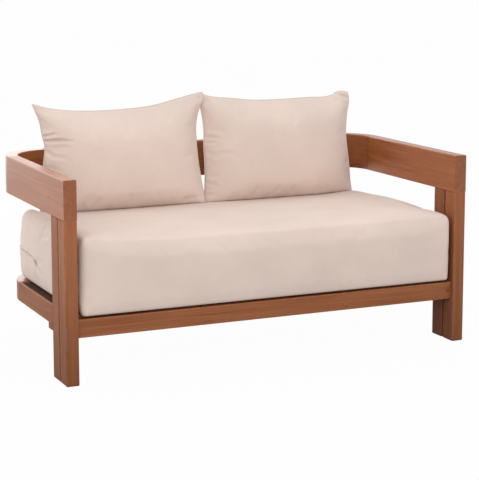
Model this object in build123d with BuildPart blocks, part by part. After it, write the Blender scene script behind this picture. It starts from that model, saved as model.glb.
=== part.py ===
# Patio loveseat: a hardwood frame with a rounded arm and back band, doubled posts,
# a slatted seat deck, one deep bench cushion and two back cushions.
#
# Frame of reference: X runs across the seat, the front faces -Y, Z is up, and the
# origin lies on the floor at the centre of the seat's footprint. Lengths in millimetres.
import math
import os
from build123d import *

os.makedirs("parts", exist_ok=True)

# Overall sizes
width = 1500
depth = 820
arm_top = 677

# Timber stock and the band that forms the arms and the back
timber = 44
band_height = 133
corner_radius = 180
band_ease = 3.5
edge_ease = 3

# Legs: each one is a pair of posts with a narrow slot between them
post_depth = 65
post_slot = 10
foot_chamfer = 2.5
rear_leg_inset = 205
spacer_height = 60
spacer_recess = 7
foot_spacer_lift = 70

# Seat frame
rail_height = 62
rail_setback = 18
front_rail_bottom = 154
side_rail_bottom = 177
side_rail_height = 69
bearer_width = 45
bearer_bottom = 158
rear_bearer_trim = 12
ledger_width = 20
ledger_height = 26

# Slats of the deck
slat_width = 100
slat_thickness = 12
slat_count = 9
slat_front_setback = 28
slat_edge_gap = 8
slat_end_gap = 3

# Joinery
joint_fit = 0.1
tenon_length = 24
tenon_thickness = 18
tenon_shoulder = 9
dowel_diameter = 10
dowel_length = 60
joint_end_gap = 1
dowel_spread_share = 0.42

# Bolts and screws
bolt_diameter = 8
bolt_head_across = 13
bolt_head_height = 5.5
bolt_bite = 32
washer_diameter = 20
washer_thickness = 1.6
counterbore_diameter = 22
counterbore_depth = 12
screw_diameter = 4
screw_head_diameter = 8
screw_head_height = 3
screw_length = 34

# Seat cushion
cushion_front_setback = 8
cushion_side_gap = 24
cushion_rear_gap = 16
cushion_leg_gap = 6
cushion_top = 480
cushion_corner = 26
cushion_rear_corner = 146
cushion_shoulder_start = 18
cushion_shoulder_length = 42
cushion_underside_round = 6
cushion_crown_run = 112
cushion_plug_gap = 4
soft_gap = 0.3

# Back cushions
pillow_side_gap = 66
pillow_height = 384
pillow_thickness = 168
pillow_edge = 10
pillow_draw = 22
pillow_spacing = 8
pillow_lean = 6.3
pillow_foot_inset = 95
pillow_pair_shift = -12

# Places worked out from the sizes
half_width = width / 2
half_depth = depth / 2
front_y = -half_depth
band_bottom = arm_top - band_height
band_middle = arm_top - band_height / 2
corner_x = half_width - corner_radius
band_corner_y = half_depth - corner_radius
post_x = half_width - timber / 2
aft_post_y = front_y + post_depth + post_slot
leg_back_y = aft_post_y + post_depth
rear_post_y = half_depth - timber - post_depth
seat_corner_y = rear_post_y - corner_radius
front_rail_top = front_rail_bottom + rail_height
side_rail_top = side_rail_bottom + side_rail_height
side_rail_middle = side_rail_bottom + side_rail_height / 2
inner_x = half_width - timber
deck_back_y = rear_post_y - timber
rear_outer_x = half_width - rear_leg_inset - timber / 2
rear_inner_x = rear_outer_x - timber - post_slot
deck_top = front_rail_top + slat_thickness
middle_bearer_y = (leg_back_y + deck_back_y) / 2 - bearer_width / 2
sides = ((-1, "left"), (1, "right"))


def bar(x_range, y_range, z_range, along, ease):
    # A straight timber with its long edges rounded over.
    spans = [high - low for low, high in (x_range, y_range, z_range)]
    middle = [(low + high) / 2 for low, high in (x_range, y_range, z_range)]
    with BuildPart() as timber_bar:
        with Locations(Location(tuple(middle))):
            Box(*spans)
        fillet(timber_bar.edges().filter_by(along), radius=ease)
    return timber_bar.part


def bore(place, direction, diameter, length):
    # A round hole centred on a place, cut from the part being built.
    with Locations(Location(Plane(origin=place, z_dir=direction))):
        Cylinder(diameter / 2, length, mode=Mode.SUBTRACT)


def dowel(place, direction, length):
    # A beech dowel centred on a joint.
    with BuildPart(mode=Mode.PRIVATE) as pin:
        with Locations(Location(Plane(origin=place, z_dir=direction))):
            Cylinder(dowel_diameter / 2, length)
    return pin.part


def dowel_bores(places, direction):
    for place in places:
        bore(place, direction, dowel_diameter + 2 * joint_fit, dowel_length + 2 * joint_end_gap)


def paired(x, y, z, height):
    # Two dowel places, one above the other, on a joint whose timber is this high.
    return [(x, y, z + turn * height * dowel_spread_share / 2) for turn in (-1, 1)]


def bolt_run(start, direction, reach):
    # Places along a bolt: head seat, washer seat and the middle of its shank.
    axis = Vector(*direction)
    seat = Vector(*start) + axis * counterbore_depth
    tip = Vector(*start) + axis * reach
    return seat, tip, axis


def cut_bolt(start, direction, reach):
    seat, tip, axis = bolt_run(start, direction, reach)
    shank = (seat + tip) * 0.5
    bore(tuple(shank), direction, bolt_diameter + 2 * joint_fit, (tip - seat).length + joint_end_gap)
    sink = Vector(*start) + axis * (counterbore_depth / 2)
    bore(tuple(sink), direction, counterbore_diameter, counterbore_depth)


def bolt(start, direction, reach):
    # A hexagon bolt whose head stands on a washer at the bottom of its counterbore.
    seat, tip, axis = bolt_run(start, direction, reach)
    under_head = seat - axis * washer_thickness
    head_plane = Plane(origin=tuple(under_head - axis * bolt_head_height), z_dir=direction)
    with BuildPart(mode=Mode.PRIVATE) as fixing:
        with BuildSketch(head_plane):
            RegularPolygon(bolt_head_across / 2, 6, major_radius=False)
        extrude(amount=bolt_head_height)
        with BuildSketch(Plane(origin=tuple(under_head), z_dir=direction)):
            Circle(bolt_diameter / 2)
        extrude(amount=(tip - under_head).length)
    return fixing.part


def washer(start, direction, reach):
    seat, tip, axis = bolt_run(start, direction, reach)
    with BuildPart(mode=Mode.PRIVATE) as ring:
        with BuildSketch(Plane(origin=tuple(seat - axis * washer_thickness), z_dir=direction)):
            Circle(washer_diameter / 2)
            Circle(bolt_diameter / 2 + joint_fit, mode=Mode.SUBTRACT)
        extrude(amount=washer_thickness)
    return ring.part


# Joint places shared by the timbers and their dowels
def arm_post_joints(side):
    fore = (side * post_x, front_y + post_depth / 2, band_bottom)
    aft = (side * post_x, aft_post_y + post_depth / 2, band_bottom)
    return [fore, aft]


def band_side_joint(side):
    return paired(side * post_x, band_corner_y, band_middle, band_height)


def band_back_joint(side):
    return paired(side * corner_x, half_depth - timber / 2, band_middle, band_height)


def rail_post_joint(side):
    return paired(side * post_x, leg_back_y, side_rail_middle, side_rail_height)


def seat_side_joint(side):
    return paired(side * post_x, seat_corner_y, side_rail_middle, side_rail_height)


def seat_back_joint(side):
    return paired(side * corner_x, rear_post_y - timber / 2, side_rail_middle, side_rail_height)


def bearer_joint(side):
    middle = (bearer_bottom + front_rail_top) / 2 + bearer_width / 4
    return [(side * inner_x, middle_bearer_y + bearer_width / 2, middle)]


rear_post_places = [side * x for side in (-1, 1) for x in (rear_outer_x, rear_inner_x)]
band_bolts = [
    ((x, rear_post_y, band_middle + turn * band_height / 4), (0, 1, 0), post_depth + bolt_bite)
    for x in rear_post_places
    for turn in (-1, 1)
]
frame_bolts = [
    ((x, rear_post_y + post_depth, side_rail_middle), (0, -1, 0), post_depth + bolt_bite)
    for x in rear_post_places
]

# Front legs: a fore post and an aft post on each side
for side, word in sides:
    for place_y, kind in ((front_y, "fore"), (aft_post_y, "aft")):
        x_low = side * post_x - timber / 2
        with BuildPart() as post:
            add(bar((x_low, x_low + timber), (place_y, place_y + post_depth), (0, band_bottom),
                    Axis.Z, edge_ease))
            chamfer(post.faces().sort_by(Axis.Z)[0].edges(), foot_chamfer)
            for joint in arm_post_joints(side):
                bore(joint, (0, 0, 1), dowel_diameter + 2 * joint_fit,
                     dowel_length + 2 * joint_end_gap)
            if kind == "fore":
                mortise_x = side * (inner_x + tenon_length / 2)
                mortise_z = front_rail_bottom + rail_height / 2
                with Locations((mortise_x, front_y + rail_setback + timber / 2, mortise_z)):
                    Box(tenon_length + 2 * joint_end_gap, tenon_thickness + 2 * joint_fit,
                        rail_height - 2 * tenon_shoulder + 2 * joint_fit, mode=Mode.SUBTRACT)
            else:
                dowel_bores(rail_post_joint(side), (0, 1, 0))
        post.part.label = f"{word}_{kind}_post"
        export_step(post.part, f"parts/{word}_{kind}_post.step")

# Rear legs: two posts on each side, between the seat frame and the back of the band
for side, word in sides:
    for place_x, kind in ((rear_outer_x, "outer"), (rear_inner_x, "inner")):
        x_low = side * place_x - timber / 2
        with BuildPart() as rear_post:
            add(bar((x_low, x_low + timber), (rear_post_y, rear_post_y + post_depth),
                    (0, arm_top), Axis.Z, edge_ease))
            chamfer(rear_post.faces().sort_by(Axis.Z)[0].edges(), foot_chamfer)
            for start, direction, reach in band_bolts + frame_bolts:
                cut_bolt(start, direction, reach)
        rear_post.part.label = f"{word}_rear_{kind}_post"
        export_step(rear_post.part, f"parts/{word}_rear_{kind}_post.step")

# Spacer blocks in the slots between paired posts
front_spacer_levels = (foot_spacer_lift, front_rail_bottom, band_bottom - spacer_height)
with BuildPart() as front_spacers:
    for side, word in sides:
        for level in front_spacer_levels:
            with Locations((side * post_x, front_y + post_depth + post_slot / 2,
                            level + spacer_height / 2)):
                Box(timber - 2 * spacer_recess, post_slot, spacer_height)
front_spacers.part.label = "front_leg_spacers"
export_step(front_spacers.part, "parts/front_leg_spacers.step")

rear_spacer_levels = (foot_spacer_lift, side_rail_bottom, arm_top - 2 * spacer_height)
with BuildPart() as rear_spacers:
    for side, word in sides:
        for level in rear_spacer_levels:
            with Locations((side * (rear_outer_x - timber / 2 - post_slot / 2),
                            rear_post_y + post_depth / 2, level + spacer_height / 2)):
                Box(post_slot, post_depth - 2 * spacer_recess, spacer_height)
rear_spacers.part.label = "rear_leg_spacers"
export_step(rear_spacers.part, "parts/rear_leg_spacers.step")


def corner_block(side, axis_y, middle_z, height, ease):
    # A quarter turn of the timber's rounded profile.
    profile_plane = Plane(origin=(side * post_x, axis_y, middle_z), x_dir=(1, 0, 0), z_dir=(0, -1, 0))
    with BuildPart(mode=Mode.PRIVATE) as block:
        with BuildSketch(profile_plane):
            RectangleRounded(timber, height, ease)
        revolve(axis=Axis((side * corner_x, axis_y, 0), (0, 0, side)), revolution_arc=90)
    return block.part


# The band: two arms, two rounded corners and the back rail
for side, word in sides:
    with BuildPart() as arm:
        with BuildSketch(Plane(origin=(side * post_x, front_y, band_middle),
                               x_dir=(1, 0, 0), z_dir=(0, -1, 0))):
            RectangleRounded(timber, band_height, band_ease)
        extrude(amount=-(band_corner_y - front_y))
        for joint in arm_post_joints(side):
            bore(joint, (0, 0, 1), dowel_diameter + 2 * joint_fit,
                 dowel_length + 2 * joint_end_gap)
        dowel_bores(band_side_joint(side), (0, 1, 0))
    arm.part.label = f"{word}_arm"
    export_step(arm.part, f"parts/{word}_arm.step")

    with BuildPart() as arm_corner:
        add(corner_block(side, band_corner_y, band_middle, band_height, band_ease))
        dowel_bores(band_side_joint(side), (0, 1, 0))
        dowel_bores(band_back_joint(side), (1, 0, 0))
    arm_corner.part.label = f"{word}_arm_corner"
    export_step(arm_corner.part, f"parts/{word}_arm_corner.step")

with BuildPart() as back_rail:
    with BuildSketch(Plane(origin=(-corner_x, half_depth - timber / 2, band_middle),
                           x_dir=(0, 1, 0), z_dir=(1, 0, 0))):
        RectangleRounded(timber, band_height, band_ease)
    extrude(amount=2 * corner_x)
    for side, word in sides:
        dowel_bores(band_back_joint(side), (1, 0, 0))
    for start, direction, reach in band_bolts:
        cut_bolt(start, direction, reach)
back_rail.part.label = "back_rail"
export_step(back_rail.part, "parts/back_rail.step")

# Seat frame: front rail, side rails, rounded corners and back rail
front_rail_y = front_y + rail_setback
with BuildPart() as front_rail:
    add(bar((-inner_x, inner_x), (front_rail_y, front_rail_y + timber),
            (front_rail_bottom, front_rail_top), Axis.X, edge_ease))
    for side, word in sides:
        with Locations((side * (inner_x + tenon_length / 2), front_rail_y + timber / 2,
                        front_rail_bottom + rail_height / 2)):
            Box(tenon_length, tenon_thickness, rail_height - 2 * tenon_shoulder)
front_rail.part.label = "front_rail"
export_step(front_rail.part, "parts/front_rail.step")

for side, word in sides:
    x_low = side * post_x - timber / 2
    with BuildPart() as side_rail:
        add(bar((x_low, x_low + timber), (leg_back_y, seat_corner_y),
                (side_rail_bottom, side_rail_top), Axis.Y, edge_ease))
        dowel_bores(rail_post_joint(side), (0, 1, 0))
        dowel_bores(seat_side_joint(side), (0, 1, 0))
        dowel_bores(bearer_joint(side), (1, 0, 0))
    side_rail.part.label = f"{word}_side_rail"
    export_step(side_rail.part, f"parts/{word}_side_rail.step")

    with BuildPart() as seat_corner:
        add(corner_block(side, seat_corner_y, side_rail_middle, side_rail_height, edge_ease))
        dowel_bores(seat_side_joint(side), (0, 1, 0))
        dowel_bores(seat_back_joint(side), (1, 0, 0))
    seat_corner.part.label = f"{word}_seat_corner"
    export_step(seat_corner.part, f"parts/{word}_seat_corner.step")

with BuildPart() as seat_back_rail:
    add(bar((-corner_x, corner_x), (deck_back_y, rear_post_y),
            (side_rail_bottom, side_rail_top), Axis.X, edge_ease))
    for side, word in sides:
        dowel_bores(seat_back_joint(side), (1, 0, 0))
    for start, direction, reach in frame_bolts:
        cut_bolt(start, direction, reach)
seat_back_rail.part.label = "seat_back_rail"
export_step(seat_back_rail.part, "parts/seat_back_rail.step")

# Screw places: each slat is held to the front bearer and to the bearer behind it
slat_reach = inner_x - slat_edge_gap - slat_width / 2
slat_pitch = 2 * slat_reach / (slat_count - 1)
slat_places = [-slat_reach + number * slat_pitch for number in range(slat_count)]
bearer_reach = corner_x - rear_bearer_trim
slat_screws = [(x, leg_back_y + bearer_width / 2) for x in slat_places]
slat_screws += [(x, middle_bearer_y + bearer_width / 2) for x in slat_places[::2]]
slat_screws += [(x, deck_back_y - bearer_width / 2) for x in slat_places
                if abs(x) < bearer_reach - slat_width / 2]


def cut_screws():
    for x, y in slat_screws:
        bore((x, y, deck_top - screw_length / 2), (0, 0, 1), screw_diameter + 2 * joint_fit,
             screw_length + 2 * joint_end_gap)


# Bearers under the slats; the front one carries the side rails on its end tongues
with BuildPart() as front_bearer:
    add(bar((-inner_x, inner_x), (leg_back_y, leg_back_y + bearer_width),
            (bearer_bottom, front_rail_top), Axis.X, edge_ease))
    for side, word in sides:
        with Locations((side * post_x, leg_back_y + bearer_width / 2,
                        (bearer_bottom + side_rail_bottom) / 2)):
            Box(timber, bearer_width, side_rail_bottom - bearer_bottom)
    cut_screws()
front_bearer.part.label = "front_bearer"
export_step(front_bearer.part, "parts/front_bearer.step")

with BuildPart() as middle_bearer:
    add(bar((-inner_x, inner_x), (middle_bearer_y, middle_bearer_y + bearer_width),
            (bearer_bottom, front_rail_top), Axis.X, edge_ease))
    for side, word in sides:
        dowel_bores(bearer_joint(side), (1, 0, 0))
    cut_screws()
middle_bearer.part.label = "middle_bearer"
export_step(middle_bearer.part, "parts/middle_bearer.step")

with BuildPart() as rear_bearer:
    add(bar((-bearer_reach, bearer_reach), (deck_back_y - bearer_width, deck_back_y),
            (side_rail_bottom, front_rail_top), Axis.X, edge_ease))
    cut_screws()
rear_bearer.part.label = "rear_bearer"
export_step(rear_bearer.part, "parts/rear_bearer.step")

# Ledgers along the side rails carry the outermost slats
ledger_spans = ((leg_back_y + bearer_width, middle_bearer_y),
                (middle_bearer_y + bearer_width, seat_corner_y))
for side, word in sides:
    with BuildPart() as ledgers:
        for low, high in ledger_spans:
            with Locations((side * (inner_x - ledger_width / 2), (low + high) / 2,
                            front_rail_top - ledger_height / 2)):
                Box(ledger_width, high - low, ledger_height)
    ledgers.part.label = f"{word}_ledgers"
    export_step(ledgers.part, f"parts/{word}_ledgers.step")

# Slats from front to back, trimmed to the inside of the rounded seat frame
slat_front_y = front_rail_y + slat_front_setback
slat_back_y = deck_back_y - slat_end_gap
well_x = inner_x - slat_end_gap
well_radius = corner_radius - timber - slat_end_gap
with BuildPart() as slats:
    with BuildSketch(Plane.XY.offset(front_rail_top)):
        with Locations(*[(x, (slat_front_y + slat_back_y) / 2) for x in slat_places]):
            Rectangle(slat_width, slat_back_y - slat_front_y)
        with BuildLine(mode=Mode.PRIVATE) as well:
            Polyline((well_x, seat_corner_y), (well_x, front_y), (-well_x, front_y),
                     (-well_x, seat_corner_y))
            RadiusArc((-well_x, seat_corner_y), (-corner_x, slat_back_y), well_radius)
            Line((-corner_x, slat_back_y), (corner_x, slat_back_y))
            RadiusArc((corner_x, slat_back_y), (well_x, seat_corner_y), well_radius)
        make_face(well.edges(), mode=Mode.INTERSECT)
    extrude(amount=slat_thickness)
    cut_screws()
    for x, y in slat_screws:
        with Locations((x, y, deck_top - screw_head_height / 2)):
            Cone(screw_diameter / 2 + joint_fit, screw_head_diameter / 2 + joint_fit,
                 screw_head_height, mode=Mode.SUBTRACT)
slats.part.label = "seat_slats"
export_step(slats.part, "parts/seat_slats.step")

with BuildPart() as screws:
    for x, y in slat_screws:
        with Locations((x, y, deck_top - screw_head_height / 2)):
            Cone(screw_diameter / 2, screw_head_diameter / 2, screw_head_height)
        with Locations((x, y, deck_top - (screw_length + screw_head_height) / 2)):
            Cylinder(screw_diameter / 2, screw_length - screw_head_height)
screws.part.label = "slat_screws"
export_step(screws.part, "parts/slat_screws.step")

# Dowels
with BuildPart() as arm_dowels:
    for side, word in sides:
        for place in arm_post_joints(side):
            add(dowel(place, (0, 0, 1), dowel_length))
arm_dowels.part.label = "arm_post_dowels"
export_step(arm_dowels.part, "parts/arm_post_dowels.step")

with BuildPart() as band_dowels:
    for side, word in sides:
        for place in band_side_joint(side):
            add(dowel(place, (0, 1, 0), dowel_length))
        for place in band_back_joint(side):
            add(dowel(place, (1, 0, 0), dowel_length))
band_dowels.part.label = "band_dowels"
export_step(band_dowels.part, "parts/band_dowels.step")

with BuildPart() as seat_dowels:
    for side, word in sides:
        for place in rail_post_joint(side) + seat_side_joint(side):
            add(dowel(place, (0, 1, 0), dowel_length))
        for place in seat_back_joint(side) + bearer_joint(side):
            add(dowel(place, (1, 0, 0), dowel_length))
seat_dowels.part.label = "seat_frame_dowels"
export_step(seat_dowels.part, "parts/seat_frame_dowels.step")

# Bolts and washers of the rear posts
with BuildPart() as band_fixings:
    for start, direction, reach in band_bolts:
        add(bolt(start, direction, reach))
band_fixings.part.label = "band_bolts"
export_step(band_fixings.part, "parts/band_bolts.step")

with BuildPart() as frame_fixings:
    for start, direction, reach in frame_bolts:
        add(bolt(start, direction, reach))
frame_fixings.part.label = "seat_frame_bolts"
export_step(frame_fixings.part, "parts/seat_frame_bolts.step")

with BuildPart() as washers:
    for start, direction, reach in band_bolts + frame_bolts:
        add(washer(start, direction, reach))
washers.part.label = "bolt_washers"
export_step(washers.part, "parts/bolt_washers.step")


def cushion_outline(inset):
    # Plan of the bench cushion: squeezed between the front legs, fuller behind them,
    # with wide rear corners. Lines and arcs, drawn once round.
    front = front_y + cushion_front_setback + inset
    back = rear_post_y - cushion_rear_gap - inset
    narrow = inner_x - cushion_leg_gap - inset
    full = half_width - cushion_side_gap - inset
    turn = max(cushion_corner - inset, cushion_underside_round)
    sweep = cushion_rear_corner - inset
    shoulder = leg_back_y + cushion_shoulder_start
    fullness = shoulder + cushion_shoulder_length
    right = [(narrow, front + turn), (narrow, shoulder), (full, fullness), (full, back - sweep)]
    left = [(-x, y) for x, y in right[::-1]]
    with BuildLine(mode=Mode.PRIVATE) as plan:
        Line((-narrow + turn, front), (narrow - turn, front))
        RadiusArc((narrow - turn, front), right[0], -turn)
        Line(right[0], right[1])
        Line(right[1], right[2])
        Line(right[2], right[3])
        RadiusArc(right[3], (full - sweep, back), -sweep)
        Line((full - sweep, back), (-full + sweep, back))
        RadiusArc((-full + sweep, back), left[0], -sweep)
        Line(left[0], left[1])
        Line(left[1], left[2])
        Line(left[2], left[3])
        RadiusArc(left[3], (-narrow + turn, front), -turn)
    return plan.edges()


# Bench cushion: crowned top, drawn-in rim, and an underside that sits down
# between the side rails while its edges rest over them
cushion_foot = side_rail_top + soft_gap
cushion_rise = cushion_top - cushion_foot
rim_shares = ((0, 1), (0.012, 0.45), (0.04, 0.1), (0.1, 0),
              (0.78, 0), (0.86, 0.3), (0.915, 1), (0.95, 2.2))
crown_shares = (0.18, 0.36, 0.58, 0.8, 1)
crown_start_share = 0.95


def crown_climb(run_share):
    # How far up the cushion the crown has climbed, this share of its run from the rim.
    return 1 - (1 - crown_start_share) * (1 - run_share) ** 2


cushion_levels = [(share, part * cushion_underside_round) for share, part in rim_shares]
cushion_levels += [(crown_climb(share), share * cushion_crown_run) for share in crown_shares]
with BuildPart() as seat_cushion:
    for rise_share, inset in cushion_levels:
        with BuildSketch(Plane.XY.offset(cushion_foot + rise_share * cushion_rise)):
            make_face(cushion_outline(inset))
    loft(ruled=True)
    plug_x = inner_x - cushion_plug_gap
    plug_back = deck_back_y - cushion_plug_gap
    plug_radius = corner_radius - timber - cushion_plug_gap
    plug_front = front_y + cushion_front_setback + cushion_underside_round
    plug_narrow = inner_x - cushion_leg_gap - cushion_underside_round
    plug_step = leg_back_y + cushion_shoulder_start
    with BuildSketch(Plane.XY.offset(deck_top + soft_gap)):
        with BuildLine(mode=Mode.PRIVATE) as plug:
            Polyline((plug_x, plug_step + cushion_shoulder_length), (plug_narrow, plug_step),
                     (plug_narrow, plug_front), (-plug_narrow, plug_front),
                     (-plug_narrow, plug_step), (-plug_x, plug_step + cushion_shoulder_length),
                     (-plug_x, seat_corner_y))
            RadiusArc((-plug_x, seat_corner_y), (-corner_x, plug_back), plug_radius)
            Line((-corner_x, plug_back), (corner_x, plug_back))
            RadiusArc((corner_x, plug_back), (plug_x, seat_corner_y), plug_radius)
            Line((plug_x, seat_corner_y), (plug_x, plug_step + cushion_shoulder_length))
        make_face(plug.edges())
    extrude(amount=cushion_foot + cushion_underside_round - deck_top - soft_gap)
seat_cushion.part.label = "seat_cushion"
export_step(seat_cushion.part, "parts/seat_cushion.step")

# Back cushions: knife edges, drawn-in sides and a full middle, leaning on the rear posts
lean = math.radians(pillow_lean)
pillow_rise = Vector(0, math.sin(lean), math.cos(lean))
pillow_fullness_power = 0.55
pillow_level_shares = (-1, -0.97, -0.9, -0.78, -0.6, -0.36, -0.12,
                       0.12, 0.36, 0.6, 0.78, 0.9, 0.97, 1)
pillow_width = inner_x - pillow_side_gap - pillow_spacing / 2
pillow_foot_y = rear_post_y - pillow_foot_inset
foot_run_share = (pillow_foot_inset - cushion_rear_gap) / cushion_crown_run
foot_z = cushion_foot + crown_climb(min(foot_run_share, 1)) * cushion_rise
pillow_foot_z = foot_z + soft_gap + pillow_edge / 2 * math.sin(lean)
for side, word in sides:
    pillow_x = side * (pillow_width + pillow_spacing) / 2 + pillow_pair_shift
    foot = Vector(pillow_x, pillow_foot_y, pillow_foot_z)
    with BuildPart() as pillow:
        for level_share in pillow_level_shares:
            centre = foot + pillow_rise * ((level_share + 1) * pillow_height / 2)
            drawn = pillow_draw * math.cos(level_share * math.pi / 2)
            reach = pillow_width / 2 - drawn
            fullness = (1 - level_share ** 2) ** pillow_fullness_power
            swell = pillow_edge / 2 + (pillow_thickness - pillow_edge) / 2 * fullness
            slice_plane = Plane(origin=tuple(centre), x_dir=(1, 0, 0), z_dir=tuple(pillow_rise))
            with BuildSketch(slice_plane):
                with BuildLine():
                    ThreePointArc((-reach, 0), (0, swell), (reach, 0))
                    ThreePointArc((reach, 0), (0, -swell), (-reach, 0))
                make_face()
        loft(ruled=True)
    pillow.part.label = f"{word}_back_cushion"
    export_step(pillow.part, f"parts/{word}_back_cushion.step")
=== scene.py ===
# Looks of the patio loveseat: timber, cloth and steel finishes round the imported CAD
# frame, sewn cushions in place of the plain cushion solids, plain studio light.
# Everything is in metres, in the CAD frame: X across, the front faces -Y, Z up.
import math

import bpy
import numpy as np
from mathutils import Matrix, Vector
from mathutils.bvhtree import BVHTree
from mathutils.kdtree import KDTree


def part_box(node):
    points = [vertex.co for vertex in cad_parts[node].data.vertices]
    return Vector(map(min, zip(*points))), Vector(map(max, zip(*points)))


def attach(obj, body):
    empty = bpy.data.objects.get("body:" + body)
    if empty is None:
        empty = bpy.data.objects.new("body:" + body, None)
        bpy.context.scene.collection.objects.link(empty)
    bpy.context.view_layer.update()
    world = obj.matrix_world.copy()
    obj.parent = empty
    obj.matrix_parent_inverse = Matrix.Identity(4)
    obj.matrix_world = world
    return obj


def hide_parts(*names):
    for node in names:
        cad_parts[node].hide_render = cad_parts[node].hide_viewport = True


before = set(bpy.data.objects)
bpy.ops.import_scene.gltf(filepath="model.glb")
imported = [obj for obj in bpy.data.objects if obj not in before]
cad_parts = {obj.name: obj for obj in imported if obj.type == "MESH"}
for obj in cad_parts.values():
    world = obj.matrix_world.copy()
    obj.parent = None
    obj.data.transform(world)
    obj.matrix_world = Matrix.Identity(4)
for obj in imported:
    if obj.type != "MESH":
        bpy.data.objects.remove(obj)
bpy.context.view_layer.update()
scene = bpy.context.scene

# Places taken from the CAD nodes, and the thickness of the bent timbers
seat_low, seat_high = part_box("seat_cushion")
rail_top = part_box("left_side_rail")[1].z
deck_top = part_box("seat_slats")[1].z
timber_thick = 0.044

# Air left between a cover and what it rests on
cloth_gap = 0.0006


# Camera, fitted to the photograph: yaw, pitch and roll are in degrees
camera_place = (-2.2468, -5.0900, 1.4020)
camera_angles = (24.2712, 8.8666, -0.0443)
camera_lens = 116.756
camera_shift = -0.1


def place_camera():
    yaw, pitch, roll = (math.radians(angle) for angle in camera_angles)
    forward = Vector((math.sin(yaw) * math.cos(pitch), math.cos(yaw) * math.cos(pitch),
                      -math.sin(pitch)))
    level = Vector((math.cos(yaw), -math.sin(yaw), 0))
    upright = level.cross(forward)
    right = level * math.cos(roll) + upright * math.sin(roll)
    up = upright * math.cos(roll) - level * math.sin(roll)
    data = bpy.data.cameras.new("photo_camera")
    data.sensor_fit = "AUTO"
    data.sensor_width = 36
    data.lens = camera_lens
    data.shift_y = camera_shift
    data.clip_end = 200
    camera = bpy.data.objects.new("photo_camera", data)
    turn = Matrix((right, up, -forward)).transposed().to_4x4()
    camera.matrix_world = Matrix.Translation(camera_place) @ turn
    scene.collection.objects.link(camera)
    scene.camera = camera


# Node graph helpers
def new_material(name):
    material = bpy.data.materials.new(name)
    material.use_nodes = True
    tree = material.node_tree
    tree.nodes.clear()
    shader = tree.nodes.new("ShaderNodeBsdfPrincipled")
    output = tree.nodes.new("ShaderNodeOutputMaterial")
    tree.links.new(shader.outputs["BSDF"], output.inputs["Surface"])
    return material, tree, shader


def feed(tree, node, inputs):
    # Links what comes out of another node, and sets plain values.
    for key, value in inputs.items():
        if isinstance(value, bpy.types.NodeSocket):
            tree.links.new(value, node.inputs[key])
        else:
            node.inputs[key].default_value = value


def put(tree, kind, inputs=None, **settings):
    node = tree.nodes.new("ShaderNode" + kind)
    for key, value in settings.items():
        setattr(node, key, value)
    feed(tree, node, inputs or {})
    return node


def object_place(tree):
    return put(tree, "TexCoord").outputs["Object"]


def stretched(tree, vector, scale):
    return put(tree, "Mapping", {"Vector": vector, "Scale": scale}).outputs[0]


def maths(tree, operation, *values, clamp=False):
    inputs = dict(enumerate(values))
    return put(tree, "Math", inputs, operation=operation, use_clamp=clamp).outputs[0]


def remap(tree, value, low, high, to_low=0.0, to_high=1.0, smooth=False):
    kind = "SMOOTHSTEP" if smooth else "LINEAR"
    node = put(tree, "MapRange", {0: value, 1: low, 2: high, 3: to_low, 4: to_high},
               interpolation_type=kind)
    return node.outputs[0]


def noise(tree, vector, scale, detail=2.0, roughness=0.5):
    return put(tree, "TexNoise", {"Vector": vector, "Scale": scale, "Detail": detail,
                                  "Roughness": roughness}).outputs[0]


def mixed(tree, factor, first, second, blend="MIX"):
    node = put(tree, "Mix", {"Factor": factor, 6: first, 7: second}, data_type="RGBA",
               blend_type=blend)
    return node.outputs[2]


def two_tones(tree, value, first, second):
    ramp = put(tree, "ValToRGB", {"Fac": value})
    ramp.color_ramp.elements[0].color = first
    ramp.color_ramp.elements[1].color = second
    return ramp.outputs[0]


def srgb(red, green, blue):
    # A colour as read off a screen, 0 to 255, as scene-linear values.
    def linear(value):
        value = value / 255
        return value / 12.92 if value <= 0.04045 else ((value + 0.055) / 1.055) ** 2.4
    return (linear(red), linear(green), linear(blue), 1.0)


def shade(colour, factor):
    return (colour[0] * factor, colour[1] * factor, colour[2] * factor, 1.0)


# Timber: growth rings round a heart beside the piece, fibres, pores, edges of wear and painted
# highlight
dark_wood, middle_wood, pale_wood = srgb(120, 66, 33), srgb(146, 86, 50), srgb(163, 103, 67)
pore_brown, knot_brown, glue_brown = srgb(84, 45, 30), srgb(82, 43, 26), srgb(58, 31, 18)
# the dark brown is painted shade on the side rails' ledge
# the pale edge colour is partly wear and partly painted highlight
worn_and_highlit_wood, ledge_shade_brown = srgb(176, 124, 96), srgb(44, 22, 16)
# Roughness that the fibres add to: the band and the seat corners are polished, the rest is not
band_gloss, left_arm_gloss, plain_gloss = 0.20, 0.29, 0.42
polished_below = 0.3


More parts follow.
